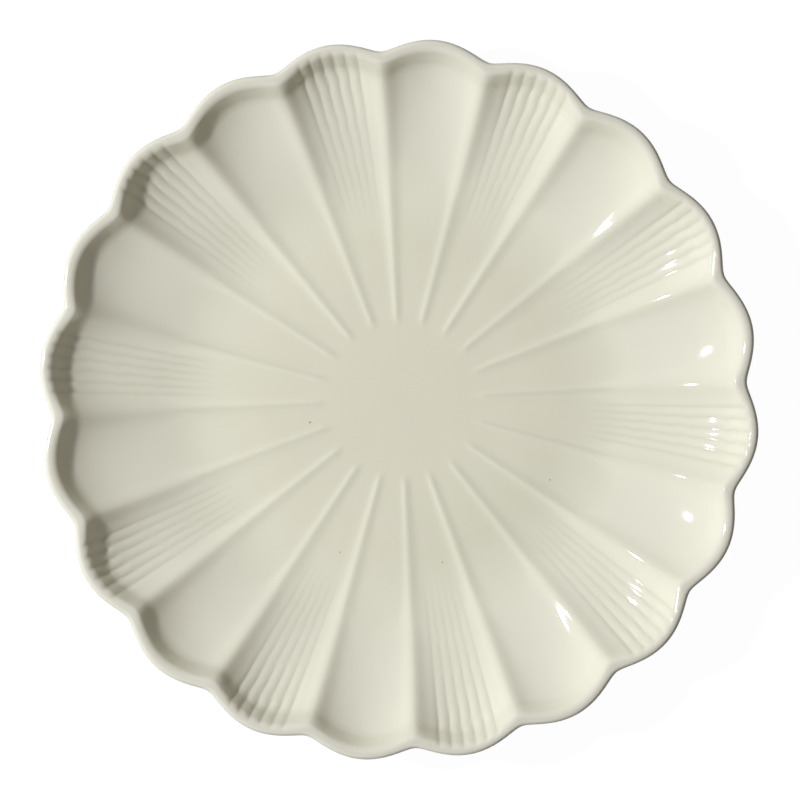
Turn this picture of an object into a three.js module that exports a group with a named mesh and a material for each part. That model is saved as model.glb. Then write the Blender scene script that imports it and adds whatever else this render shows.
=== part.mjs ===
// Scalloped ceramic plate: a moulded clay body on a foot ring, under a coat of glaze.
// Millimetres, +Z up. The origin is on the table, at the middle of the foot ring.
// The first plain petal points along +X, and plain and ribbed petals follow by turns.

import * as THREE from "three";
import { mergeGeometries } from "three/addons/utils/BufferGeometryUtils.js";

// Outline seen from above
const plateDiameter = 270; // across the tips of two opposite petals
const petalCount = 20; // an even number, half of them ribbed
const notchDepth = 4.8; // dip of the outline between two petals
const notchSoftness = 0.2; // 0 would be a sharp cusp between two petals

// Section through the middle of a petal
const footHeight = 5; // table to the underside of the clay
const clayThickness = 3.5;
const glazeThickness = 0.5;
const wellRadius = 60.5; // where the petals start to rise
const petalRise = 10; // rise of the petal's even curve, floor to the foot of the wall
const flareRise = 3.1; // and of its steeper end, close to the wall
const flarePower = 7.5; // the higher, the closer to the wall the flare keeps
const sagDepth = 1.15; // shallow ring that the floor sinks by, outside the foot ring
const sagRadius = 80;
const sagWidth = 14.75; // from the lowest place of the sag to its steepest
const wallAngle = 51; // degrees from level
const wallRun = 4; // foot to top of the wall, measured level
const wallFillet = 2; // length that the rounding takes on each side of the wall's foot
const shoulderRadius = 4; // rounds the wall over to the top of the lip

// Foot ring
const footDiameter = 136;
const footTopWidth = 5.5;
const footBaseWidth = 4; // face that stands on the table
const footChamfer = 0.5; // height of the broken edge beside that face
const footBlend = 8; // from the glaze's edge out to where the back follows the face
const glazeClearance = 0.3; // bare line between the glaze and the ring

// Ridges between the petals
const ridgeStart = 27; // radius where they leave the flat centre
const ridgeLead = 6; // length in which they rise to their first height
const ridgeHeightInner = 0.19;
const ridgeHeightOuter = 1.6;
const ridgeHeightPower = 2.75; // the higher, the closer to the wall the ridges grow
const ridgeWidthInner = 1.6; // from the crest to the steepest place of a flank
const ridgeWidthOuter = 3;
const ridgeWidthPower = 3;

// Hollow of each petal, deepest just inside the wall
const hollowStart = 62;
const hollowDepth = 0.7;
const hollowPower = 2;

// Panel of a ribbed petal, sunk between two flanks
const panelDepth = 0.54; // at the wall, and growing evenly from where the ridges start
const flankCrest = 0.2; // softness of a flank at the ridge, as a share of half a petal
const flankFoot = 0.05; // and beside the ribs

// Ribs on every second petal
const ribCount = 5;
const ribHeight = 0.5; // groove to crest at the wall
const ribSoftness = 0.2; // 0 would be a sharp groove between two ribs
const ribStart = 62;
const ribPower = 5; // the higher, the later the ribs rise
const ribMargin = 7.4; // plain band at each side of the ribs, measured at the petal's tip

const tipRadius = plateDiameter / 2;
const petalAngle = (2 * Math.PI) / petalCount;
const halfPetal = petalAngle / 2;
const shellThickness = clayThickness + 2 * glazeThickness;
const floorHeight = footHeight + clayThickness + glazeThickness;
const footOuterRadius = footDiameter / 2;
const footInnerRadius = footOuterRadius - footTopWidth;
const ribPitch = (petalAngle - (2 * ribMargin) / tipRadius) / (ribCount + 1);
const panelEdge = (ribPitch * (ribCount + 1)) / petalAngle;

const { degToRad, smoothstep, lerp, inverseLerp } = THREE.MathUtils;
const glaze = new THREE.MeshStandardMaterial({ color: 0xe4e0cc, roughness: 0.12, metalness: 0 });
const clay = new THREE.MeshStandardMaterial({ color: 0xd9cfb8, roughness: 0.85, metalness: 0 });

// Where an angle lies: across runs from -1 to 1 over a petal, and each end is a ridge.
function petalAt(angle) {
  const index = Math.round(angle / petalAngle);
  const across = (angle - index * petalAngle) / halfPetal;
  return { across, ribbed: index % 2 !== 0 };
}

// 0 in the middle of a lobe and 1 in the softened notch at each end of it, where place is -1 or 1.
function roundLobe(place, softness) {
  const lobe = Math.hypot(Math.cos((Math.PI / 2) * place), softness);
  return 1 - (lobe - softness) / (Math.hypot(1, softness) - softness);
}
const scallop = (across) => roundLobe(across, notchSoftness);

// Flank of a ribbed petal: 0 on the ribbed panel, rising evenly to 1 at the ridge.
function flank(across) {
  const full = 1 - panelEdge;
  const rise = full - (Math.hypot(1 - Math.abs(across), flankCrest) - flankCrest);
  return (rise + Math.hypot(rise, flankFoot)) / (full + Math.hypot(full, flankFoot));
}

// Face of the plate through the middle of a petal: floor, sweep of the petal, rounded corner, wall, shoulder.
const wallSlope = degToRad(wallAngle);
const alongWall = new THREE.Vector2(Math.cos(wallSlope), Math.sin(wallSlope));
const acrossWall = new THREE.Vector2(alongWall.y, -alongWall.x);
const shoulderDrop = shoulderRadius * (1 - alongWall.x);
const lipRadius = (shellThickness - shoulderDrop) / (1 + alongWall.x);
const lipTop = tipRadius - lipRadius;
const wallFoot = new THREE.Vector2(
  lipTop - shoulderRadius * alongWall.y - wallRun, floorHeight + petalRise + flareRise,
);
const wallTop = wallFoot.clone().addScaledVector(alongWall, wallRun / alongWall.x);
const filletEnd = wallFoot.clone().addScaledVector(alongWall, wallFillet);
const filletStart = wallFoot.x - wallFillet;
const sweepRun = wallFoot.x - wellRadius;
const shoulderCentre = wallTop.clone().addScaledVector(acrossWall, shoulderRadius);
const lipCentre = new THREE.Vector2(lipTop, wallTop.y + shoulderDrop - lipRadius);

// A station is a place on the section: a point of the face and the direction from it into the shell.
function faceStation(radius) {
  const share = Math.max(0, radius - wellRadius) / sweepRun;
  const sag = sagDepth * Math.exp(-(((radius - sagRadius) / sagWidth) ** 2) / 2);
  const flare = flareRise * share ** flarePower;
  const sweepSlope = (2 * petalRise * share + flarePower * flareRise * share ** (flarePower - 1)) / sweepRun;
  const slope = sweepSlope + (sag * (radius - sagRadius)) / sagWidth ** 2;
  const face = new THREE.Vector2(radius, floorHeight + petalRise * share ** 2 + flare - sag);
  return { face, inward: new THREE.Vector2(slope, -1).normalize() };
}
const fillet = new THREE.QuadraticBezierCurve(faceStation(filletStart).face, wallFoot, filletEnd);
function filletStation(share) {
  const tangent = fillet.getTangent(share);
  return { face: fillet.getPoint(share), inward: new THREE.Vector2(tangent.y, -tangent.x) };
}
const wallTopStation = { face: wallTop, inward: acrossWall };
function shoulderStation(slope) {
  const inward = new THREE.Vector2(Math.sin(slope), -Math.cos(slope));
  return { face: shoulderCentre.clone().addScaledVector(inward, -shoulderRadius), inward };
}

// Point of the section at a depth below the face. The lip is an arc from its top round to the wall's back.
const sunk = ({ face, inward }, depth) => face.clone().addScaledVector(inward, depth);
function lipPoint(share, depth) {
  const turn = share * (Math.PI - wallSlope);
  const out = new THREE.Vector2(Math.sin(turn), Math.cos(turn));
  return lipCentre.clone().addScaledVector(out, lipRadius - depth);
}

// How much of the notch reaches in to a radius: none on the floor, all of it at the wall.
const notchShare = (radius) => smoothstep(radius, wellRadius, wallFoot.x);

// Heights added to the face
const fadeToLip = (radius, start) => 1 - smoothstep(radius, start, lipTop);
const alongRidge = (radius) => Math.max(0, inverseLerp(ridgeStart, wallFoot.x, radius));
const ridgeWidth = (radius) =>
  lerp(ridgeWidthInner, ridgeWidthOuter, alongRidge(radius) ** ridgeWidthPower);
function hollow(radius, across, ribbed) {
  const growth = Math.max(0, inverseLerp(hollowStart, wallFoot.x, radius)) ** hollowPower;
  const panel = ribbed ? panelDepth * alongRidge(radius) * (1 - flank(across)) : 0;
  return (hollowDepth * growth * scallop(across) - panel) * fadeToLip(radius, wallFoot.x);
}
function ridge(radius, across) {
  const height = lerp(ridgeHeightInner, ridgeHeightOuter, alongRidge(radius) ** ridgeHeightPower);
  const rise = smoothstep(radius, ridgeStart, ridgeStart + ridgeLead);
  const fromCrest = (1 - Math.abs(across)) * halfPetal * radius;
  const bell = Math.exp(-((fromCrest / ridgeWidth(radius)) ** 2) / 2);
  return height * rise * fadeToLip(radius, wallFoot.x) * bell;
}
function ribs(radius, across, ribbed) {
  const turns = (across * halfPetal) / ribPitch;
  if (!ribbed || Math.abs(turns) > (ribCount + 1) / 2) return 0;
  const growth = Math.max(0, inverseLerp(ribStart, wallFoot.x, radius)) ** ribPower;
  const rise = Math.min(1, growth) * fadeToLip(radius, wallTop.x);
  return -ribHeight * rise * roundLobe(2 * turns, ribSoftness);
}

// Columns of vertices round the plate, closer where the relief needs them
const centreColumns = 2; // on each petal
const lipColumns = 6;
const backColumns = 4;
function columns(perPetal) {
  const angles = [];
  for (let index = 0; index < petalCount; index++)
    for (const offset of perPetal(index % 2 !== 0)) angles.push(index * petalAngle + offset);
  return angles;
}
const evenColumns = (count) =>
  columns(() => Array.from({ length: count }, (_, i) => -halfPetal + (i * petalAngle) / count));
const ridgeFoot = (radius) => halfPetal - Math.min(halfPetal / 2, (2 * ridgeWidth(radius)) / radius);
function ridgeColumns(radius) {
  const foot = ridgeFoot(radius);
  return columns(() => [-halfPetal, -foot, 0, foot]);
}
function ribColumns(radius) {
  const foot = ridgeFoot(radius);
  const midFlank = (halfPetal * (1 + panelEdge)) / 2;
  const last = ribCount + 1;
  const ribEdges = Array.from({ length: 2 * last + 1 }, (_, i) => ((i - last) * ribPitch) / 2);
  const plain = [-halfPetal, -foot, -foot / 2, 0, foot / 2, foot];
  return columns((ribbed) => (ribbed ? [-halfPetal, -midFlank, ...ribEdges, midFlank] : plain));
}

// One ring of vertices: a point of the section carried round the plate, with its notches and relief.
function ring(angles, point, faceRadius, raised) {
  const vertices = angles.map((angle) => {
    const { across, ribbed } = petalAt(angle);
    const radius = point.x - notchDepth * notchShare(faceRadius) * scallop(across);
    const crests = raised ? ridge(faceRadius, across) + ribs(faceRadius, across, ribbed) : 0;
    const height = point.y + hollow(faceRadius, across, ribbed) + crests;
    return new THREE.Vector3(radius * Math.cos(angle), radius * Math.sin(angle), height);
  });
  return { angles, vertices };
}
const pole = (height) => ({ angles: [-halfPetal], vertices: [new THREE.Vector3(0, 0, height)] });

// Sheet of triangles over a row of rings. Turned over, it faces the other way with the same triangles.
function sheet(rings, turnedOver) {
  const vertices = rings.flatMap((r) => r.vertices);
  const triangles = [];
  const addTriangle = (a, b, c) => triangles.push(...(turnedOver ? [a, c, b] : [a, b, c]));
  const angleAfter = (angles, i) => {
    if (i >= angles.length) return Infinity;
    return i + 1 < angles.length ? angles[i + 1] : angles[0] + 2 * Math.PI;
  };
  let first = 0;
  for (let k = 0; k + 1 < rings.length; k++) {
    const near = rings[k].angles;
    const far = rings[k + 1].angles;
    const second = first + near.length;
    for (let i = 0, j = 0; i < near.length || j < far.length; ) {
      const a = first + (i % near.length);
      const b = second + (j % far.length);
      if (angleAfter(near, i) <= angleAfter(far, j)) {
        i += 1;
        if (near.length > 1) addTriangle(a, b, first + (i % near.length));
      } else {
        j += 1;
        if (far.length > 1) addTriangle(a, b, second + (j % far.length));
      }
    }
    first = second;
  }
  return new THREE.BufferGeometry().setFromPoints(vertices).setIndex(triangles);
}

// Rings of the face, from beside the axis out to the top of the lip
function faceRings(depth) {
  const rings = [];
  const add = (angles, place) => rings.push(ring(angles, sunk(place, depth), place.face.x, true));
  const ridgeFull = ridgeStart + ridgeLead;
  const sweepRadius = (share) => lerp(wellRadius, filletStart, share);
  add(evenColumns(centreColumns), faceStation(ridgeStart));
  const floorRadii = [ridgeFull, (ridgeFull + wellRadius) / 2, wellRadius];
  for (const radius of [...floorRadii, sweepRadius(0.2), sweepRadius(0.4)])
    add(ridgeColumns(radius), faceStation(radius));
  for (const share of [0.6, 0.8, 1]) add(ribColumns(sweepRadius(share)), faceStation(sweepRadius(share)));
  for (const share of [0.5, 1]) {
    const place = filletStation(share);
    add(ribColumns(place.face.x), place);
  }
  add(ribColumns(wallTop.x), wallTopStation);
  add(evenColumns(lipColumns), shoulderStation(wallSlope / 2));
  return rings;
}

// Rings over the lip, from its top to the back of the wall
const lipRings = (depth) =>
  [0, 1 / 3, 2 / 3, 1].map((share) => ring(evenColumns(lipColumns), lipPoint(share, depth), lipTop, false));

// Rings of the back, from the wall in to the foot ring
function backRings(depth) {
  const blendEnd = footOuterRadius + glazeClearance + footBlend;
  const places = [1, 0.5].map(filletStation);
  for (const share of [0, 0.25, 0.5, 0.75, 1]) places.push(faceStation(lerp(filletStart, blendEnd, share)));
  return places.map((place) => ring(evenColumns(backColumns), sunk(place, depth), place.face.x, false));
}
const glazeEdge = (height) =>
  ring(evenColumns(backColumns), new THREE.Vector2(footOuterRadius + glazeClearance, height), 0, false);

function clayBody() {
  return sheet([
    pole(floorHeight - glazeThickness), ...faceRings(glazeThickness), ...lipRings(glazeThickness),
    ...backRings(glazeThickness + clayThickness), glazeEdge(footHeight), pole(footHeight),
  ]);
}

// The coat is one skin over the face, round the lip and down the back to the foot ring.
function glazeCoat() {
  const outside = [
    pole(floorHeight), ...faceRings(0), ...lipRings(0), ...backRings(shellThickness),
    glazeEdge(footHeight - glazeThickness),
  ];
  const inside = [
    pole(floorHeight - glazeThickness), ...faceRings(glazeThickness), ...lipRings(glazeThickness),
    ...backRings(glazeThickness + clayThickness), glazeEdge(footHeight),
  ];
  const border = [outside.at(-1), inside.at(-1)];
  return mergeGeometries([sheet(outside), sheet(border), sheet(inside, true)]);
}

// A turned piece: its profile is in radius and height, and the lathe's own axis becomes +Z.
const turnedSides = 80;
const turned = (profile) => new THREE.LatheGeometry(profile, turnedSides).rotateX(Math.PI / 2);

function footRingBody() {
  const middle = (footOuterRadius + footInnerRadius) / 2;
  const halfBase = footBaseWidth / 2;
  const halfTop = footTopWidth / 2;
  const side = [
    [halfBase, 0], [halfBase + footChamfer, footChamfer], [halfTop, footHeight],
  ];
  const outer = side.map(([out, height]) => new THREE.Vector2(middle + out, height));
  const inner = side.map(([out, height]) => new THREE.Vector2(middle - out, height)).reverse();
  return turned([...outer, ...inner, outer[0]]);
}

function baseGlaze() {
  const edge = footInnerRadius - glazeClearance;
  const top = footHeight;
  const bottom = footHeight - glazeThickness;
  const corners = [[0, bottom], [edge, bottom], [edge, top], [0, top]];
  return turned(corners.map(([radius, height]) => new THREE.Vector2(radius, height)));
}

const plate = new THREE.Group();
function addPiece(name, geometry, material) {
  const piece = new THREE.Mesh(geometry, material);
  piece.name = name;
  plate.add(piece);
}
addPiece("clay_body", clayBody(), clay);
addPiece("foot_ring", footRingBody(), clay);
addPiece("glaze_coat", glazeCoat(), glaze);
addPiece("base_glaze", baseGlaze(), glaze);

export default plate;
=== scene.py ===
import math

import bpy
import numpy as np
from mathutils import Matrix, Vector


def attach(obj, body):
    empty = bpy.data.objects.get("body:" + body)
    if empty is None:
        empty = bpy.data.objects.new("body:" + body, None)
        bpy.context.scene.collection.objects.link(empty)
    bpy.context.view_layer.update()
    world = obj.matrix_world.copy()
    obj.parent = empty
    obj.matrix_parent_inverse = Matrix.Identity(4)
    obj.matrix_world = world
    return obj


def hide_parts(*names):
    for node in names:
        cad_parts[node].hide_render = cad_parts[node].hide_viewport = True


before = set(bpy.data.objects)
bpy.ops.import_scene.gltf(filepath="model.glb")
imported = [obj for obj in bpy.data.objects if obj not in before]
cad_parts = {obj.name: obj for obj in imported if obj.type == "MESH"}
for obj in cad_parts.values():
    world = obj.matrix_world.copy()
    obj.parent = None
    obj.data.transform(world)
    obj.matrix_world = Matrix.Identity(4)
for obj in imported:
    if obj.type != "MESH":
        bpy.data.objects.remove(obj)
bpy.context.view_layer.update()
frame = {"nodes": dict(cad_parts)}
print("frame loaded:", ", ".join(frame["nodes"]))

mm = 0.001
fullTurn = 2 * math.pi

# Sizes shared by all pieces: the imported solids' own, with a slightly squarer lip and softer relief
plateForm = {
    "tipRadius": 135 * mm,
    "petals": 20,
    "notchDepth": 4.8 * mm,
    "notchSoftness": 0.2,
    "footHeight": 5 * mm,
    "clay": 3.5 * mm,
    "glaze": 0.5 * mm,
    "wellRadius": 60.5 * mm,
    "petalRise": 10 * mm,
    "flareRise": 3.1 * mm,
    "flarePower": 7.5,
    "sagDepth": 1.15 * mm,  # shallow ring that the floor sinks by, outside the foot ring
    "sagRadius": 80 * mm,
    "sagWidth": 14.75 * mm,
    "wallAngle": math.radians(51),
    "wallRun": 4 * mm,
    "wallFillet": 2 * mm,
    "shoulder": 4 * mm,  # radius that rounds the wall over to the top of the lip
    "footRadius": 68 * mm,
    "footTopWidth": 5.5 * mm,
    "footBlend": 8 * mm,  # from the glaze's edge out to where the back follows the face
    "glazeClearance": 0.3 * mm,
    "lipSquare": 2.3,  # 2 would be a round lip, more has a flatter top and a tighter outer edge
}
ridgeForm = {
    "start": 27 * mm,
    "lead": 6 * mm,
    "heights": (0.26 * mm, 1.07 * mm),  # at the inner end and at the wall
    "heightPower": 2.3,
    "widths": (1 * mm, 3.05 * mm),  # from the crest to the steepest place of a flank
    "widthPower": 1.5,
}
hollowForm = {
    "start": 62 * mm,
    "depth": 0.7 * mm,
    "power": 2,
}
panelForm = {
    "depth": 0.46 * mm,  # that a ribbed panel is sunk between its flanks, at the wall
    "flankCrest": 0.2,  # softness of a flank at the ridge, as a share of half a petal
    "flankFoot": 0.05,  # and beside the ribs
}
ribForm = {
    "count": 5,
    "height": 0.4 * mm,
    "softness": 0.2,
    "start": 62 * mm,
    "power": 3.4,
    "margin": 7.4 * mm,  # plain band beside the ribs, at the petal's tip
    "sway": (0.05, 0.045),  # how far a groove wanders, as shares of its width, in long and short waves
    "swayLength": (13 * mm, 7 * mm),
    "swayStep": 2.4,  # radians from one petal to the next
}
handForm = {  # slow unevenness of a pressed and dipped piece
    "seed": 11,
    "waves": 16,
    "lengths": (15 * mm, 70 * mm),
    "slope": 0.008,
}

petalAngle = fullTurn / plateForm["petals"]
halfPetal = petalAngle / 2
shell = plateForm["clay"] + 2 * plateForm["glaze"]
floorTop = plateForm["footHeight"] + plateForm["clay"] + plateForm["glaze"]
footOuter = plateForm["footRadius"]
footInner = footOuter - plateForm["footTopWidth"]
ribPitch = (petalAngle - 2 * ribForm["margin"] / plateForm["tipRadius"]) / (ribForm["count"] + 1)
panelEdge = ribPitch * (ribForm["count"] + 1) / petalAngle


def smoothStep(x, low, high):
    t = np.clip((x - low) / (high - low), 0, 1)
    return t * t * (3 - 2 * t)


def petalAt(angle):  # place across a petal, -1 to 1 from ridge to ridge, and whether it is ribbed
    index = np.round(angle / petalAngle)
    return (angle - index * petalAngle) / halfPetal, index.astype(int) % 2 != 0


def roundLobe(place, softness):  # 0 in the middle of a lobe, 1 in the softened notch at -1 and 1
    lobe = np.hypot(np.cos(math.pi / 2 * place), softness)
    return 1 - (lobe - softness) / (math.hypot(1, softness) - softness)


def scallop(across):
    return roundLobe(across, plateForm["notchSoftness"])


def flank(across):  # 0 on the ribbed panel, rising evenly to 1 at the ridge
    crest, foot = panelForm["flankCrest"], panelForm["flankFoot"]
    full = 1 - panelEdge
    rise = full - (np.hypot(1 - np.abs(across), crest) - crest)
    return (rise + np.hypot(rise, foot)) / (full + math.hypot(full, foot))


# The section through a petal's middle, as the solids have it
wallAngle = plateForm["wallAngle"]
alongWall = np.array([math.cos(wallAngle), math.sin(wallAngle)])
acrossWall = np.array([alongWall[1], -alongWall[0]])
shoulderDrop = plateForm["shoulder"] * (1 - math.cos(wallAngle))
lipRadius = (shell - shoulderDrop) / (1 + math.cos(wallAngle))
lipTop = plateForm["tipRadius"] - lipRadius
wallTopRadius = lipTop - plateForm["shoulder"] * math.sin(wallAngle)
wallFootHeight = floorTop + plateForm["petalRise"] + plateForm["flareRise"]
wallFoot = np.array([wallTopRadius - plateForm["wallRun"], wallFootHeight])
wallTop = wallFoot + alongWall * plateForm["wallRun"] / math.cos(wallAngle)
lipHeight = wallTop[1] + shoulderDrop
sweepRun = wallFoot[0] - plateForm["wellRadius"]
filletStart = wallFoot[0] - plateForm["wallFillet"]
filletEnd = wallFoot + alongWall * plateForm["wallFillet"]


def faceStation(radius):  # a point of the face and the direction from it into the shell
    share = max(0, radius - plateForm["wellRadius"]) / sweepRun
    rise, flare, power = (plateForm[name] for name in ("petalRise", "flareRise", "flarePower"))
    fromSag = (radius - plateForm["sagRadius"]) / plateForm["sagWidth"]
    sag = plateForm["sagDepth"] * math.exp(-(fromSag**2) / 2)
    height = floorTop + rise * share**2 + flare * share**power - sag
    slope = (2 * rise * share + power * flare * share ** (power - 1)) / sweepRun
    slope += sag * fromSag / plateForm["sagWidth"]
    return np.array([radius, height]), np.array([slope, -1.0]) / math.hypot(slope, 1)


def filletStation(share):
    start = faceStation(filletStart)[0]
    point = (1 - share) ** 2 * start + 2 * share * (1 - share) * wallFoot + share**2 * filletEnd
    way = (1 - share) * (wallFoot - start) + share * (filletEnd - wallFoot)
    way = way / np.hypot(*way)
    return point, np.array([way[1], -way[0]])


def wallStation(share):
    return filletEnd + (wallTop - filletEnd) * share, acrossWall


def shoulderStation(turn):  # turn is the slope, from the wall's own down to 0 on top of the lip
    inward = np.array([math.sin(turn), -math.cos(turn)])
    return np.array([lipTop, lipHeight - plateForm["shoulder"]]) - inward * plateForm["shoulder"], inward


def lipPoint(turn, depth):  # turn runs from 0 on top of the lip to the slope of the wall's back
    centre = np.array([lipTop, lipHeight - lipRadius])
    out, up = math.sin(turn), math.cos(turn)
    if up > 0:
        out, up = out ** (2 / plateForm["lipSquare"]), up ** (2 / plateForm["lipSquare"])
    return centre + (lipRadius - depth) * np.array([out, up])


# Relief of the face
def alongRidge(radius):
    return np.maximum(0, radius - ridgeForm["start"]) / (wallFoot[0] - ridgeForm["start"])


def hollowHeight(radius, across, ribbed):
    span = wallFoot[0] - hollowForm["start"]
    growth = max(0, (radius - hollowForm["start"]) / span) ** hollowForm["power"]
    panel = np.where(ribbed, panelForm["depth"] * alongRidge(radius) * (1 - flank(across)), 0.0)
    fade = 1 - smoothStep(radius, wallFoot[0], lipTop)
    return (hollowForm["depth"] * growth * scallop(across) - panel) * fade


def ridgeSize(radius, name):
    inner, outer = ridgeForm[name + "s"]
    return inner + (outer - inner) * alongRidge(radius) ** ridgeForm[name + "Power"]


def ridgeHeight(radius, across):
    height, width = ridgeSize(radius, "height"), ridgeSize(radius, "width")
    rise = smoothStep(radius, ridgeForm["start"], ridgeForm["start"] + ridgeForm["lead"])
    fade = 1 - smoothStep(radius, wallFoot[0], lipTop)
    fromCrest = (1 - np.abs(across)) * halfPetal * radius
    return height * rise * fade * np.exp(-((fromCrest / width) ** 2) / 2)


def ribTurns(radius, angles, across):  # place across a panel counted in ribs, and whether ribs reach it
    turns = across * halfPetal / ribPitch
    last = (ribForm["count"] + 1) / 2
    start = ribForm["swayStep"] * np.round(angles / petalAngle)
    wander = 0
    for sway, length in zip(ribForm["sway"], ribForm["swayLength"]):
        wander = wander + sway * np.sin(fullTurn * radius / length + start + np.round(turns))
    return turns + wander * (1 - (turns / last) ** 2), np.abs(turns) <= last


def grooves(radius, angles, across, ribbed):  # 0 on a rib's crest, 1 in a groove at its full depth
    turns, reached = ribTurns(radius, angles, across)
    rise = max(0, (radius - ribForm["start"]) / (wallFoot[0] - ribForm["start"])) ** ribForm["power"]
    rise = min(1, rise) * (1 - smoothStep(radius, wallTop[0], lipTop))
    return np.where(ribbed & reached, rise * roundLobe(2 * turns, ribForm["softness"]), 0.0)


def handWaves():
    draw = np.random.default_rng(handForm["seed"])
    lengths = draw.uniform(*handForm["lengths"], handForm["waves"])
    ways, starts = draw.uniform(0, fullTurn, (2, handForm["waves"]))
    return fullTurn / lengths, ways, starts


def unevenness(x, y):
    rates, ways, starts = handWaves()
    along = np.outer(x, np.cos(ways)) + np.outer(y, np.sin(ways))
    return np.sum(np.sin(along * rates + starts) / rates, 1) * handForm["slope"] * math.sqrt(2 / len(rates))


# Rings of points round the plate, joined ring to ring
spacing = {
    "ridgeCrowding": 0.6,  # 0 would space the points evenly across a petal
    "flankPower": 1.4,
    "grooveCrowding": 0.6,
    "sameAngle": 1e-9,  # points of two rings at one angle, in radians
}


def petalColumns(plain, ribbed):
    angles = []
    for index in range(plateForm["petals"]):
        angles.append(index * petalAngle + (ribbed if index % 2 else plain) * halfPetal)
    return np.concatenate(angles)


def evenPlaces(count):
    return np.linspace(-1, 1, count, endpoint=False)


def closeToRidges(count):  # places across a petal, closer together near its ridges
    even, crowding = evenPlaces(count), spacing["ridgeCrowding"]
    return (1 - crowding) * even + crowding * np.sin(math.pi / 2 * even)


def ribPlaces(perRib, perFlank):  # closer together in the grooves and at the ridges
    flankShare = np.linspace(0, 1, perFlank, endpoint=False)
    leftFlank = -1 + (1 - panelEdge) * flankShare ** spacing["flankPower"]
    ribs = np.linspace(-0.5, ribForm["count"] + 0.5, perRib * (ribForm["count"] + 1) + 1)
    ribs = ribs - spacing["grooveCrowding"] / fullTurn * np.sin(fullTurn * ribs)
    panel = (ribs / ribForm["count"] - 0.5) * 2 * panelEdge * ribForm["count"] / (ribForm["count"] + 1)
    return np.concatenate([leftFlank, panel, -leftFlank[:0:-1]])


def plateRing(angles, point, faceRadius, raised):
    across, ribbed = petalAt(angles)
    notch = smoothStep(faceRadius, plateForm["wellRadius"], wallFoot[0])
    radius = point[0] - plateForm["notchDepth"] * notch * scallop(across)
    x, y = radius * np.cos(angles), radius * np.sin(angles)
    height = point[1] + hollowHeight(faceRadius, across, ribbed)
    if raised:
        height = height + ridgeHeight(faceRadius, across)
        height = height - ribForm["height"] * grooves(faceRadius, angles, across, ribbed)
        height = height + unevenness(x, y) * (1 - smoothStep(faceRadius, filletStart, wallTop[0]))
    return angles, np.stack([x, y, height], 1)


def turnedRing(angles, radius, height):
    return angles, np.stack([radius * np.cos(angles), radius * np.sin(angles), height + 0 * angles], 1)


def pole(height):
    return np.array([-halfPetal]), np.array([[0.0, 0.0, height]])


def joinRings(rings, closed):
    counts = [len(angles) for angles, points in rings]
    starts = np.concatenate([[0], np.cumsum(counts)]).tolist()
    order = list(range(len(rings))) + ([0] if closed else [])
    faces, bands = [], []
    for band, (near, far) in enumerate(zip(order, order[1:])):
        first, second = starts[near], starts[far]
        nearCount, farCount = counts[near], counts[far]
        nearNext = np.append(rings[near][0][1:], rings[near][0][0] + fullTurn)
        farNext = np.append(rings[far][0][1:], rings[far][0][0] + fullTurn)
        i = j = 0
        while i < nearCount or j < farCount:
            a, b = first + i % nearCount, second + j % farCount
            nearEnd = nearNext[i] if i < nearCount else math.inf
            farEnd = farNext[j] if j < farCount else math.inf
            if abs(nearEnd - farEnd) < spacing["sameAngle"] and nearCount > 1 and farCount > 1:
                i, j = i + 1, j + 1
                faces.append((a, b, second + j % farCount, first + i % nearCount))
            elif nearEnd < farEnd:
                i += 1
                if nearCount > 1:
                    faces.append((a, b, first + i % nearCount))
            else:
                j += 1
                if farCount > 1:
                    faces.append((a, b, second + j % farCount))
        bands += [band] * (len(faces) - len(bands))
    return np.concatenate([points for angles, points in rings]), faces, np.array(bands)


def unwrap(mesh, rings, bands, islands):  # each island: first and last ring, its middle and size on the map
    ringOf = np.repeat(np.arange(len(rings)), [len(angles) for angles, points in rings])
    angleOf = np.concatenate([angles for angles, points in rings])
    vertex, sides = np.empty(len(mesh.loops), int), np.empty(len(mesh.polygons), int)
    mesh.loops.foreach_get("vertex_index", vertex)
    mesh.polygons.foreach_get("loop_total", sides)
    band = np.repeat(bands, sides)
    places = np.zeros((len(vertex), 2))
    for first, last, middle, size in islands:
        section = np.array([rings[k][1][0] for k in range(first, last + 1)])
        out = np.concatenate([[0], np.cumsum(np.linalg.norm(np.diff(section, axis=0), axis=1))])
        ends = np.hypot(*section[[0, -1], :2].T)
        out = (out if ends[0] < ends[1] else out[-1] - out) + ends.min()
        inside = (band >= first) & (band < last)
        at = vertex[inside]
        reach = size * out[ringOf[at] - first] / out.max()
        way = np.stack([np.cos(angleOf[at]), np.sin(angleOf[at])], 1)
        places[inside] = np.array(middle) + reach[:, None] * way
    mesh.uv_layers.new(name="OFBake").uv.foreach_set("vector", places.astype(np.float32).ravel())


def makePiece(name, rings, replaced, islands=(), closed=False):
    points, faces, bands = joinRings(rings, closed)
    mesh = bpy.data.meshes.new(name)
    mesh.from_pydata(points.tolist(), [], faces)
    mesh.shade_smooth()
    if islands:
        unwrap(mesh, rings, bands, islands)
    piece = bpy.data.objects.new(name, mesh)
    bpy.context.scene.collection.objects.link(piece)
    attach(piece, "root")
    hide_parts(replaced)
    print(name + ":", sum(len(face) - 2 for face in faces), "triangles")
    return piece


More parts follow.
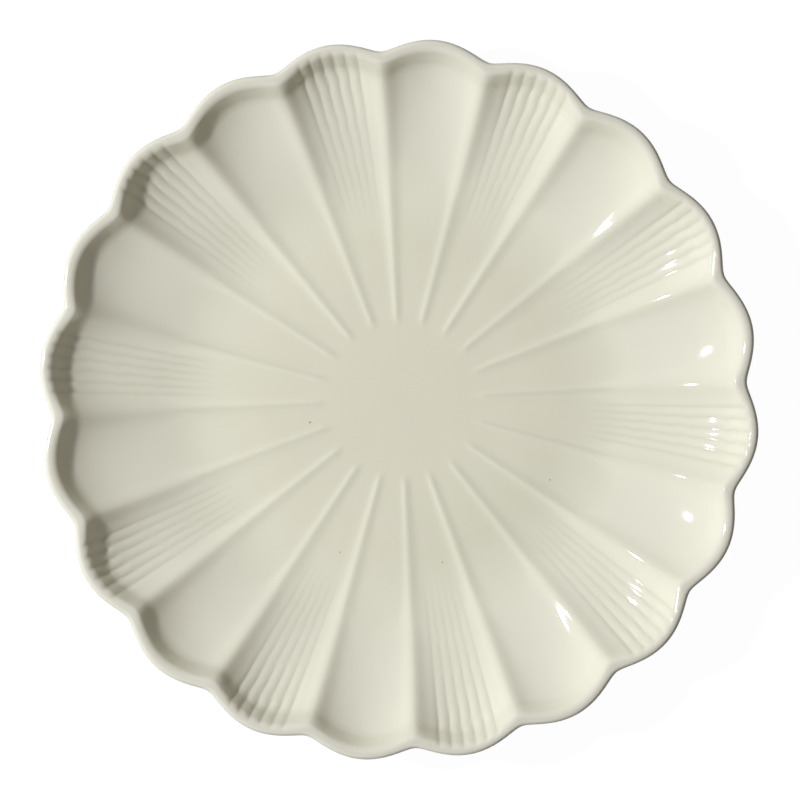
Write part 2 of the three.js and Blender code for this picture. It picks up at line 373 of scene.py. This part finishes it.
# The glaze skin over the face, the lip and the back
fineSkin = {
    "centre": (evenPlaces(8), evenPlaces(8), 6),  # places across plain and ribbed petals, and rows
    "lead": (closeToRidges(24), closeToRidges(24), 8),
    "well": (closeToRidges(24), closeToRidges(24), 14),
    "sweep": (closeToRidges(28), ribPlaces(10, 10), 34),
    "fillet": (closeToRidges(28), ribPlaces(10, 10), 9),
    "wall": (closeToRidges(28), ribPlaces(10, 10), 2),
    "shoulder": (closeToRidges(28), ribPlaces(10, 10), 7),
    "lip": (evenPlaces(24), evenPlaces(24), 14),
    "back": (evenPlaces(20), evenPlaces(20), 20),
}
coarseSkin = {  # the side of the skin that lies on the clay
    "centre": (evenPlaces(2), evenPlaces(2), 1),
    "lead": (evenPlaces(6), evenPlaces(6), 2),
    "well": (evenPlaces(6), evenPlaces(6), 2),
    "sweep": (closeToRidges(10), ribPlaces(2, 3), 7),
    "fillet": (closeToRidges(10), ribPlaces(2, 3), 3),
    "wall": (closeToRidges(10), ribPlaces(2, 3), 1),
    "shoulder": (closeToRidges(10), ribPlaces(2, 3), 3),
    "lip": (evenPlaces(10), evenPlaces(10), 5),
    "back": (evenPlaces(8), evenPlaces(8), 6),
}
skinDepth = 0.35 * mm
discEdge = 0.97 * ridgeForm["start"]  # the last ring of the flat disc
backRows = {"wall": 2, "fillet": 7, "edge": 5}  # the back's other rings, on both sides of the skin


def glazeSkin(detail, depth):  # rings from the face's middle, over the lip, to the edge beside the foot ring
    columns = {part: petalColumns(plain, ribbed) for part, (plain, ribbed, rows) in detail.items()}
    rows = {part: row for part, (plain, ribbed, row) in detail.items()}
    start, lead, well = ridgeForm["start"], ridgeForm["lead"], plateForm["wellRadius"]
    rings = [pole(floorTop - depth)]

    def addFace(part, stations):
        for point, inward in stations:
            rings.append(plateRing(columns[part], point + inward * depth, point[0], True))

    def addBack(stations):
        for point, inward in stations:
            rings.append(plateRing(columns["back"], point + inward * (shell - depth), point[0], False))

    addFace("centre", [faceStation(r) for r in np.linspace(discEdge, 0, rows["centre"] + 1)[-2::-1]])
    addFace("lead", [faceStation(r) for r in np.linspace(start, start + lead, rows["lead"])])
    addFace("well", [faceStation(r) for r in np.linspace(start + lead, well, rows["well"] + 1)[1:]])
    addFace("sweep", [faceStation(r) for r in np.linspace(well, filletStart, rows["sweep"] + 1)[1:]])
    addFace("fillet", [filletStation(s) for s in np.linspace(0, 1, rows["fillet"] + 1)[1:]])
    addFace("wall", [wallStation(s) for s in np.linspace(0, 1, rows["wall"] + 1)[1:]])
    addFace("shoulder", [shoulderStation(t) for t in np.linspace(wallAngle, 0, rows["shoulder"] + 1)[1:-1]])
    for turn in np.linspace(0, math.pi - wallAngle, rows["lip"] + 1):
        rings.append(plateRing(columns["lip"], lipPoint(turn, depth), lipTop, False))
    addBack([wallStation(s) for s in np.linspace(1, 0, backRows["wall"] + 1)[:-1]])
    addBack([filletStation(s) for s in np.linspace(1, 0, backRows["fillet"])])
    edge = footOuter + plateForm["glazeClearance"]
    blendEnd = edge + plateForm["footBlend"]
    addBack([faceStation(r) for r in np.linspace(filletStart, blendEnd, rows["back"] + 1)[1:]])
    thick = plateForm["glaze"] - depth
    for turn in np.linspace(math.pi / 2, 0, backRows["edge"]):
        radius = edge + depth + thick * (1 - math.cos(turn))
        height = plateForm["footHeight"] - thick * math.sin(turn)
        rings.append(plateRing(columns["back"], np.array([radius, height]), 0, False))
    return rings


outside, inside = glazeSkin(fineSkin, 0), glazeSkin(coarseSkin, skinDepth)[::-1]
edgeRing = len(outside) - 1
lipRing = edgeRing - sum(backRows.values()) - fineSkin["back"][2]  # lowest ring of the lip's arc
innerLip = edgeRing + sum(backRows.values()) + coarseSkin["back"][2]
lastRing = len(outside) + len(inside) - 1
skinIslands = [
    (0, lipRing, (0.365, 0.365), 0.36),
    (lipRing, edgeRing, (0.79, 0.79), 0.2),
    (edgeRing, innerLip, (0.1, 0.9), 0.09),
    (innerLip, lastRing, (0.9, 0.1), 0.09),
]
skin = makePiece("glaze_skin", outside + inside, "glaze_coat", skinIslands)


# The clay under the glaze, bare only in the narrow line beside the foot ring
clayDetail = {
    "centre": (evenPlaces(2), evenPlaces(2), 2),
    "lead": (closeToRidges(8), closeToRidges(8), 3),
    "well": (closeToRidges(8), closeToRidges(8), 5),
    "sweep": (closeToRidges(12), ribPlaces(4, 4), 16),
    "fillet": (closeToRidges(12), ribPlaces(4, 4), 4),
    "wall": (closeToRidges(12), ribPlaces(4, 4), 1),
    "shoulder": (closeToRidges(12), ribPlaces(4, 4), 3),
    "lip": (evenPlaces(12), evenPlaces(12), 6),
    "back": (evenPlaces(10), evenPlaces(10), 10),
}
clayRings = glazeSkin(clayDetail, plateForm["glaze"])[: 1 - backRows["edge"]]
clayRings.append(pole(plateForm["footHeight"]))
clayCore = makePiece("clay_core", clayRings, "clay_body")

# The foot ring, with its edges broken by grinding
footShape = {
    "sides": 360,
    "sideRows": 7,
    "edgeRows": 5,
    "topShares": (-0.5, 0, 0.5),
    "baseWidth": 4 * mm,
    "chamfer": 0.5 * mm,
    "bulge": 0.12 * mm,
    "worn": 0.06 * mm,  # how far the ground edge wanders
    "sideWander": 0.2,  # and the sides, as a share of that
    "wearCount": (7, 11, 17),
}


def footRing():
    angles = np.linspace(0, fullTurn, footShape["sides"], endpoint=False)
    middle, top = (footOuter + footInner) / 2, plateForm["footHeight"]
    halfBase, halfTop = footShape["baseWidth"] / 2, plateForm["footTopWidth"] / 2
    chamfer = footShape["chamfer"]
    wander = sum(np.sin(count * angles + count) for count in footShape["wearCount"])
    wander = wander / len(footShape["wearCount"]) * footShape["worn"]
    side = []  # half width, height and share of the wander, from the body down to the ground face
    for share in np.linspace(0, 1, footShape["sideRows"]):
        bulge = footShape["bulge"] * math.sin(math.pi * share)
        out = halfTop + (halfBase + chamfer - halfTop) * share + bulge
        side.append((out, top + (chamfer - top) * share, footShape["sideWander"]))
    for turn in np.linspace(0, math.pi / 2, footShape["edgeRows"])[1:]:
        side.append((halfBase + chamfer * math.cos(turn), chamfer * (1 - math.sin(turn)), 1))
    rings = [turnedRing(angles, middle + share * halfTop, top) for share in footShape["topShares"]]
    rings += [turnedRing(angles, middle + out + wander * loose, height) for out, height, loose in side]
    rings.append(turnedRing(angles, middle, 0))
    rings += [turnedRing(angles, middle - out + wander * loose, height) for out, height, loose in side[::-1]]
    return rings


foot = makePiece("foot_ring_clay", footRing(), "foot_ring", closed=True)

# The glaze inside the foot ring, pulled back to a soft edge
baseShape = {
    "sides": 240,
    "rows": 14,
    "edgeRows": 6,
    "topShares": (0.33, 0.66, 1),
    "wave": 0.1 * mm,  # most that its face rises or sinks
    "waveFade": 6,  # keeps the waves from the edge
    "edgeWander": 0.12 * mm,
    "edgeCount": (3, 8, 13),
}


def baseGlaze():
    angles = np.linspace(0, fullTurn, baseShape["sides"], endpoint=False)
    top, thick, most = plateForm["footHeight"], plateForm["glaze"], baseShape["wave"]
    edge = footInner - plateForm["glazeClearance"] - baseShape["edgeWander"]
    wander = sum(np.sin(count * angles + 2 * count) for count in baseShape["edgeCount"])
    wander = wander / len(baseShape["edgeCount"]) * baseShape["edgeWander"]
    rings = [pole(top)]
    rings += [turnedRing(angles, (edge - thick) * share, top) for share in baseShape["topShares"]]
    for turn in np.linspace(0, math.pi / 2, baseShape["edgeRows"]):
        out = edge - thick * (1 - math.cos(turn)) + wander
        rings.append(turnedRing(angles, out, top - thick * math.sin(turn)))
    for share in np.linspace(1, 0, baseShape["rows"] + 1)[1:-1]:
        radius = (edge - thick) * share
        wave = np.clip(unevenness(radius * np.cos(angles), radius * np.sin(angles)), -most, most)
        fade = 1 - share ** baseShape["waveFade"]
        rings.append(turnedRing(angles, radius, top - thick + most + wave * fade))
    return rings + [pole(top - thick + most)]


base = makePiece("base_glaze_skin", baseGlaze(), "base_glaze")


# Shader helpers: a value is set on the socket, and a socket is linked to it
def addNode(tree, kind, values, **settings):
    node = tree.nodes.new(kind)
    for name, setting in settings.items():
        setattr(node, name, setting)
    for name, value in values.items():
        if isinstance(value, bpy.types.NodeSocket):
            tree.links.new(value, node.inputs[name])
        else:
            node.inputs[name].default_value = value
    return node


def newGroup(name, takes, gives):
    tree = bpy.data.node_groups.new(name, "ShaderNodeTree")
    for way, sockets in (("INPUT", takes), ("OUTPUT", gives)):
        for label, kind in sockets:
            tree.interface.new_socket(label, in_out=way, socket_type="NodeSocket" + kind)
    return tree, tree.nodes.new("NodeGroupInput").outputs, tree.nodes.new("NodeGroupOutput").inputs


def onPiece(tree):  # the place on the plate, in metres
    return tree.nodes.new("ShaderNodeTexCoord").outputs["Object"]


def noise(tree, values):
    return addNode(tree, "ShaderNodeTexNoise", {"Vector": onPiece(tree), **values}).outputs["Fac"]


def ramp(tree, value, low, high):  # 0 at low, 1 at high, smooth between
    values = {"Value": value, "From Min": low, "From Max": high}
    return addNode(tree, "ShaderNodeMapRange", values, interpolation_type="SMOOTHSTEP").outputs["Result"]


def between(tree, value, low, high):
    values = {"Value": value, "To Min": low, "To Max": high}
    return addNode(tree, "ShaderNodeMapRange", values).outputs["Result"]


def bumpy(tree, height, strength, distance):
    values = {"Height": height, "Strength": strength, "Distance": distance}
    return addNode(tree, "ShaderNodeBump", values).outputs["Normal"]


def maths(tree, operation, a, b):
    return addNode(tree, "ShaderNodeMath", {0: a, 1: b}, operation=operation).outputs[0]


def blend(tree, share, a, b):
    values = {0: share, 6: a, 7: b}  # its sockets for colours
    return addNode(tree, "ShaderNodeMix", values, data_type="RGBA").outputs[2]


# Effects that the materials share
mottleForm = {"fineScale": 7.0, "wideShare": 0.75, "fineShare": 0.25, "edges": (0.36, 0.64)}
speckForm = {"leastSize": 0.35, "edges": (1.0, 0.4)}
grainForm = {"wideScale": 0.04, "wideShare": 0.4, "fineShare": 0.6, "edges": (0.35, 0.65)}


def twoScales(tree, form, wide, fine):  # a wide and a fine noise together
    shares = ((wide, form["wideShare"]), (fine, form["fineShare"]))
    return maths(tree, "ADD", *(maths(tree, "MULTIPLY", value, share) for value, share in shares))


def mottleGroup():  # slow clouds where the glaze is thicker or thinner
    takes = [("Scale", "Float"), ("Rosy", "Color"), ("Green", "Color")]
    tree, given, out = newGroup("glaze_mottle", takes, [("Color", "Color"), ("Cloud", "Float")])
    wide = noise(tree, {"Scale": given["Scale"], "Detail": 2.0, "Roughness": 0.45, "Distortion": 0.6})
    fineScale = maths(tree, "MULTIPLY", given["Scale"], mottleForm["fineScale"])
    fine = noise(tree, {"Scale": fineScale, "Detail": 4.0})
    cloud = ramp(tree, twoScales(tree, mottleForm, wide, fine), *mottleForm["edges"])
    tree.links.new(blend(tree, cloud, given["Rosy"], given["Green"]), out["Color"])
    tree.links.new(cloud, out["Cloud"])
    return tree


def speckGroup():  # a few round specks, each in its own cell
    takes = [("Scale", "Float"), ("Size", "Float"), ("Share", "Float")]
    tree, given, out = newGroup("fine_specks", takes, [("Mask", "Float")])
    cells = addNode(tree, "ShaderNodeTexVoronoi", {"Vector": onPiece(tree), "Scale": given["Scale"]})
    split = addNode(tree, "ShaderNodeSeparateColor", {"Color": cells.outputs["Color"]})
    chosen = maths(tree, "LESS_THAN", split.outputs["Red"], given["Share"])
    size = maths(tree, "ADD", split.outputs["Green"], speckForm["leastSize"])
    reach = maths(tree, "MULTIPLY", given["Size"], size)
    near = maths(tree, "DIVIDE", cells.outputs["Distance"], reach)
    tree.links.new(maths(tree, "MULTIPLY", chosen, ramp(tree, near, *speckForm["edges"])), out["Mask"])
    return tree


def grainGroup():  # fine sandy grain of fired clay
    takes = [("Scale", "Float"), ("Pale", "Color"), ("Dark", "Color")]
    tree, given, out = newGroup("clay_grain", takes, [("Color", "Color"), ("Grain", "Float")])
    fine = noise(tree, {"Scale": given["Scale"], "Detail": 6.0, "Roughness": 0.7})
    wideScale = maths(tree, "MULTIPLY", given["Scale"], grainForm["wideScale"])
    wide = noise(tree, {"Scale": wideScale, "Detail": 3.0})
    grain = twoScales(tree, grainForm, wide, fine)
    pale = ramp(tree, grain, *grainForm["edges"])
    tree.links.new(blend(tree, pale, given["Dark"], given["Pale"]), out["Color"])
    tree.links.new(grain, out["Grain"])
    return tree


groups = {"mottle": mottleGroup(), "specks": speckGroup(), "grain": grainGroup()}


def placeGroup(tree, name, values):
    node = tree.nodes.new("ShaderNodeGroup")
    node.node_tree = groups[name]
    for label, value in values.items():
        node.inputs[label].default_value = value
    return node.outputs


def newMaterial(name):
    material = bpy.data.materials.new(name)
    material.use_nodes = True
    tree = material.node_tree
    return material, tree, tree.nodes["Principled BSDF"].inputs


# Glaze: cream, rosier in the middle, paler in a ring round the sag and duller outside it, thin on the lip,
# with painted shade in the rib grooves and along the ridges
glazeLook = {  # pairs of lengths are where a colour starts and where it is full
    "mottle": {"Scale": 11.0, "Rosy": (0.728, 0.7075, 0.58, 1), "Green": (0.709, 0.6995, 0.566, 1)},
    "centre": (0.7225, 0.6975, 0.5745, 1),
    "middle": (36 * mm, 24 * mm),
    "layerShare": 0.7,  # of the centre's and the outer colour over the mottling
    # paler colour in a ring round the sag, full near 78 mm and gone by 58 and 94 mm
    "paleRing": (0.738, 0.722, 0.60, 1),
    "paleRingStart": (58 * mm, 78 * mm),
    "paleRingEnd": (94 * mm, 79 * mm),
    "outer": (0.709, 0.696, 0.591, 1),
    "outside": (72 * mm, 92 * mm),
    # painted shade for the rib grooves and the ridges' crests
    "reliefShade": (0.653, 0.64, 0.518, 1),
    "grooveFull": 97 * mm,
    "groovePower": 1.5,
    "ridgeShare": 0.56,  # how far the painted shade reaches onto a ridge's crest, as a share of the grooves' darkening
    "ridgePower": 1.5,  # makes the painted dark line narrower than the ridge
    "thin": (0.70, 0.69, 0.59, 1),
    "lip": (27.4 * mm, 28.2 * mm),
    "specks": {"Scale": 83.0, "Size": 0.034, "Share": 0.5},
    "speck": (0.3, 0.25, 0.17, 1),
    "roughness": (0.04, 0.065),
    "rippleNoise": {"Scale": 160.0, "Detail": 2.0},
    "rippleShare": 0.5,  # against the specks' pits
    "ripple": 0.05,
    "rippleDepth": 0.3 * mm,
}


def markReliefShade(piece):  # painted shade: darker colour in the rib grooves, partly glaze run thicker there and partly painted shade, and a painted dark line along the ridges' crests
    places = np.empty(len(piece.data.vertices) * 3)
    piece.data.vertices.foreach_get("co", places)
    x, y, z = places.reshape(-1, 3).T
    angles, radius = np.arctan2(y, x), np.hypot(x, y)
    across, ribbed = petalAt(angles)
    face = radius
    for nearer in range(4):  # back from the scalloped radius to the section's own
        notch = smoothStep(face, plateForm["wellRadius"], wallFoot[0])
        face = radius + plateForm["notchDepth"] * notch * scallop(across)
    turns, reached = ribTurns(face, angles, across)
    growth = smoothStep(face, ribForm["start"], glazeLook["grooveFull"])
    lobes = roundLobe(2 * turns, ribForm["softness"]) ** glazeLook["groovePower"]
    depth = np.where(ribbed & reached, growth * lobes, 0)
    crest = ridgeHeight(face, across) / ridgeSize(face, "height")
    depth = np.maximum(depth, glazeLook["ridgeShare"] * crest ** glazeLook["ridgePower"])
    depth[sum(len(ringAngles) for ringAngles, points in outside[:lipRing]):] = 0  # the face alone
    marks = piece.data.attributes.new("reliefShade", "FLOAT", "POINT")
    marks.data.foreach_set("value", depth.astype(np.float32))


def glazeMaterial():
    material, tree, shader = newMaterial("cream_glaze")
    place = addNode(tree, "ShaderNodeSeparateXYZ", {0: onPiece(tree)}).outputs
    flat = addNode(tree, "ShaderNodeCombineXYZ", {"X": place["X"], "Y": place["Y"]}).outputs[0]
    radius = addNode(tree, "ShaderNodeVectorMath", {0: flat}, operation="LENGTH").outputs["Value"]
    mottle = placeGroup(tree, "mottle", glazeLook["mottle"])
    specks = placeGroup(tree, "specks", glazeLook["specks"])["Mask"]
    # painted shade in the grooves and along the ridges, read from the mesh's attribute
    reliefShaded = addNode(tree, "ShaderNodeAttribute", {}, attribute_name="reliefShade").outputs["Fac"]
    ends = (ramp(tree, radius, *glazeLook[end]) for end in ("middle", "outside"))
    middle, outer = (maths(tree, "MULTIPLY", end, glazeLook["layerShare"]) for end in ends)
    innerSide, outerSide = (ramp(tree, radius, *glazeLook[end]) for end in ("paleRingStart", "paleRingEnd"))
    paleRing = maths(tree, "MULTIPLY", innerSide, outerSide)
    thin = ramp(tree, place["Z"], *glazeLook["lip"])
    color = mottle["Color"]
    layers = {"centre": middle, "outer": outer, "paleRing": paleRing}
    layers |= {"reliefShade": reliefShaded, "thin": thin, "speck": specks}
    for name, share in layers.items():
        color = blend(tree, share, color, glazeLook[name])
    tree.links.new(color, shader["Base Color"])
    ripple = noise(tree, glazeLook["rippleNoise"])
    rough = between(tree, ripple, *glazeLook["roughness"])
    tree.links.new(maths(tree, "ADD", rough, specks), shader["Roughness"])
    height = maths(tree, "SUBTRACT", maths(tree, "MULTIPLY", ripple, glazeLook["rippleShare"]), specks)
    tree.links.new(bumpy(tree, height, glazeLook["ripple"], glazeLook["rippleDepth"]), shader["Normal"])
    return material


# Glaze of the base: the same cream, a little thinner, with more specks
baseLook = {
    "mottle": {"Scale": 16.0, "Rosy": (0.70, 0.66, 0.53, 1), "Green": (0.67, 0.65, 0.515, 1)},
    "specks": {"Scale": 120.0, "Size": 0.045, "Share": 0.5},
    "speck": (0.36, 0.3, 0.2, 1),
    "roughness": (0.11, 0.2),
    "rippleNoise": {"Scale": 130.0, "Detail": 2.0},
    "ripple": 0.08,
    "rippleDepth": 0.3 * mm,
}


def baseMaterial():
    material, tree, shader = newMaterial("base_cream")
    mottle = placeGroup(tree, "mottle", baseLook["mottle"])
    specks = placeGroup(tree, "specks", baseLook["specks"])["Mask"]
    tree.links.new(blend(tree, specks, mottle["Color"], baseLook["speck"]), shader["Base Color"])
    rough = between(tree, mottle["Cloud"], *baseLook["roughness"])
    tree.links.new(maths(tree, "ADD", rough, specks), shader["Roughness"])
    height = maths(tree, "SUBTRACT", noise(tree, baseLook["rippleNoise"]), specks)
    tree.links.new(bumpy(tree, height, baseLook["ripple"], baseLook["rippleDepth"]), shader["Normal"])
    return material


# Bare clay: the body's narrow bare line, and the foot ring with its ground face
clayLook = {
    "body_clay": {"Scale": 900.0, "Pale": (0.66, 0.58, 0.44, 1), "Dark": (0.56, 0.475, 0.345, 1)},
    "foot_clay": {"Scale": 1100.0, "Pale": (0.69, 0.62, 0.485, 1), "Dark": (0.585, 0.505, 0.375, 1)},
}
clayShared = {
    "specks": {"Scale": 300.0, "Size": 0.2, "Share": 0.14},
    "speck": (0.3, 0.21, 0.13, 1),
    "ground": (0.74, 0.69, 0.57, 1),  # paler where the foot has rubbed on tables
    "groundHeight": (0.45 * mm, 0.1 * mm),
    "roughness": (0.72, 0.95),
    "bump": 0.5,
    "bumpDepth": 0.15 * mm,
}


def clayMaterial(name):
    material, tree, shader = newMaterial(name)
    grain = placeGroup(tree, "grain", clayLook[name])
    specks = placeGroup(tree, "specks", clayShared["specks"])["Mask"]
    height = addNode(tree, "ShaderNodeSeparateXYZ", {0: onPiece(tree)}).outputs["Z"]
    ground = maths(tree, "MULTIPLY", ramp(tree, height, *clayShared["groundHeight"]), grain["Grain"])
    color = blend(tree, ground, grain["Color"], clayShared["ground"])
    tree.links.new(blend(tree, specks, color, clayShared["speck"]), shader["Base Color"])
    tree.links.new(between(tree, grain["Grain"], *clayShared["roughness"]), shader["Roughness"])
    normal = bumpy(tree, grain["Grain"], clayShared["bump"], clayShared["bumpDepth"])
    tree.links.new(normal, shader["Normal"])
    return material


markReliefShade(skin)
skin.data.materials.append(glazeMaterial())
base.data.materials.append(baseMaterial())
foot.data.materials.append(clayMaterial("foot_clay"))
clayCore.data.materials.append(clayMaterial("body_clay"))
print("materials made")

# Camera at the photograph's view
photoView = {
    "turn": math.radians(11.8),  # first plain petal, anticlockwise from the picture's right
    "lean": math.radians(3.8),  # from straight above, to the picture's right
    "distance": 3.0,
    "tipPixels": 361.87,  # from the plate's middle to a petal's tip
    "frameWidth": 800,
    "aim": (0.79 * mm, -0.1 * mm),  # from the plate's middle, right and up in the picture
}
pictureRight = Vector((math.cos(photoView["turn"]), -math.sin(photoView["turn"]), 0))
pictureUp = Vector((math.sin(photoView["turn"]), math.cos(photoView["turn"]), 0))


def makeCamera():
    data = bpy.data.cameras.new("photo_camera")
    camera = bpy.data.objects.new("photo_camera", data)
    target = Vector((0, 0, lipHeight))
    target += pictureRight * photoView["aim"][0] + pictureUp * photoView["aim"][1]
    back = pictureRight * math.sin(photoView["lean"]) + Vector((0, 0, math.cos(photoView["lean"])))
    right = pictureUp.cross(back).normalized()
    turn = Matrix((right, back.cross(right), back)).transposed()
    camera.matrix_world = Matrix.Translation(target + back * photoView["distance"]) @ turn.to_4x4()
    half = photoView["frameWidth"] / 2
    viewWidth = plateForm["tipRadius"] * half / photoView["tipPixels"]
    data.lens = data.sensor_width / 2 * photoView["distance"] / viewWidth
    data.clip_end = 100
    bpy.context.scene.collection.objects.link(camera)
    bpy.context.scene.camera = camera


makeCamera()

# Lamp, room and floor
studio = {
    "lampSide": math.radians(172.6),  # anticlockwise from the picture's right
    "lampHeight": math.radians(44.8),
    "lampDistance": 2.4,
    "lampSize": 0.19,
    "lampPower": 64.1,
    "lampColor": (0.979, 1, 1.035),
    "ambient": 0.157,
    "ambientColor": (1, 0.875, 0.7, 1),  # warm room light, that the shaded wall shows
    "ceilingGloss": 0.1,  # how bright the ceiling over the plate shows in the glaze, where walls are 1
    "ceilingEdge": (math.radians(8), math.radians(22)),  # from straight up
}


def makeLamp():
    data = bpy.data.lights.new("key_lamp", "AREA")
    data.shape = "DISK"
    data.size = studio["lampSize"]
    data.energy = studio["lampPower"]
    data.color = studio["lampColor"]
    lamp = bpy.data.objects.new("key_lamp", data)
    side = pictureRight * math.cos(studio["lampSide"]) + pictureUp * math.sin(studio["lampSide"])
    way = side * math.cos(studio["lampHeight"]) + Vector((0, 0, math.sin(studio["lampHeight"])))
    lamp.location = way * studio["lampDistance"]
    lamp.rotation_euler = way.to_track_quat("Z", "Y").to_euler()
    bpy.context.scene.collection.objects.link(lamp)


def byRay(tree, lighting, mirrored, seen):  # what lights the plate, shows in its glaze, and is seen
    path = addNode(tree, "ShaderNodeLightPath", {}).outputs
    direct = maths(tree, "MAXIMUM", path["Is Camera Ray"], path["Is Transmission Ray"])
    surface = lighting
    for share, shade in ((path["Is Glossy Ray"], mirrored), (direct, seen)):
        surface = addNode(tree, "ShaderNodeMixShader", {"Fac": share, 1: surface, 2: shade}).outputs[0]
    return surface


def makeRoom():
    world = bpy.data.worlds.new("white_room")
    world.use_nodes = True
    tree = world.node_tree
    tree.nodes.clear()
    way = addNode(tree, "ShaderNodeTexCoord", {}).outputs["Generated"]
    up = addNode(tree, "ShaderNodeSeparateXYZ", {0: way}).outputs["Z"]
    inner, outer = (math.cos(edge) for edge in studio["ceilingEdge"])
    values = {"Value": up, "From Min": outer, "From Max": inner}
    values |= {"To Min": 1, "To Max": studio["ceilingGloss"]}
    ceiling = addNode(tree, "ShaderNodeMapRange", values, interpolation_type="SMOOTHSTEP").outputs["Result"]
    white = (1, 1, 1, 1)
    shades = []
    for color, strength in ((studio["ambientColor"], studio["ambient"]), (white, ceiling), (white, 1)):
        background = addNode(tree, "ShaderNodeBackground", {"Color": color, "Strength": strength})
        shades.append(background.outputs[0])
    addNode(tree, "ShaderNodeOutputWorld", {"Surface": byRay(tree, *shades)})
    bpy.context.scene.world = world


floorLook = {
    "reach": 6,
    "bounce": 0.3,  # for the light that it throws back on the plate
    "mirrored": 0.98,  # in the glaze, with the plate's shadow
    "shadowed": 0.05,  # what the camera sees of that shadow
    "white": 0.975,  # and of plain white
}


def makeFloor():
    mesh = bpy.data.meshes.new("floor")
    reach = floorLook["reach"]
    corners = [(-reach, -reach, 0), (reach, -reach, 0), (reach, reach, 0), (-reach, reach, 0)]
    mesh.from_pydata(corners, [], [(0, 1, 2, 3)])
    floor = bpy.data.objects.new("floor", mesh)
    material = bpy.data.materials.new("white_floor")
    material.use_nodes = True
    tree = material.node_tree
    tree.nodes.clear()
    papers = []
    for name in ("bounce", "mirrored", "shadowed"):
        pale = floorLook[name]
        papers.append(addNode(tree, "ShaderNodeBsdfDiffuse", {"Color": (pale, pale, pale, 1)}).outputs[0])
    bounce, mirrored, shadowed = papers
    white = addNode(tree, "ShaderNodeEmission", {"Strength": floorLook["white"]}).outputs[0]
    seen = addNode(tree, "ShaderNodeAddShader", {0: shadowed, 1: white}).outputs[0]
    addNode(tree, "ShaderNodeOutputMaterial", {"Surface": byRay(tree, bounce, mirrored, seen)})
    mesh.materials.append(material)
    bpy.context.scene.collection.objects.link(floor)


makeLamp()
makeRoom()
makeFloor()
bpy.context.scene.view_settings.view_transform = "Standard"
print("camera, lamp, room and floor made")
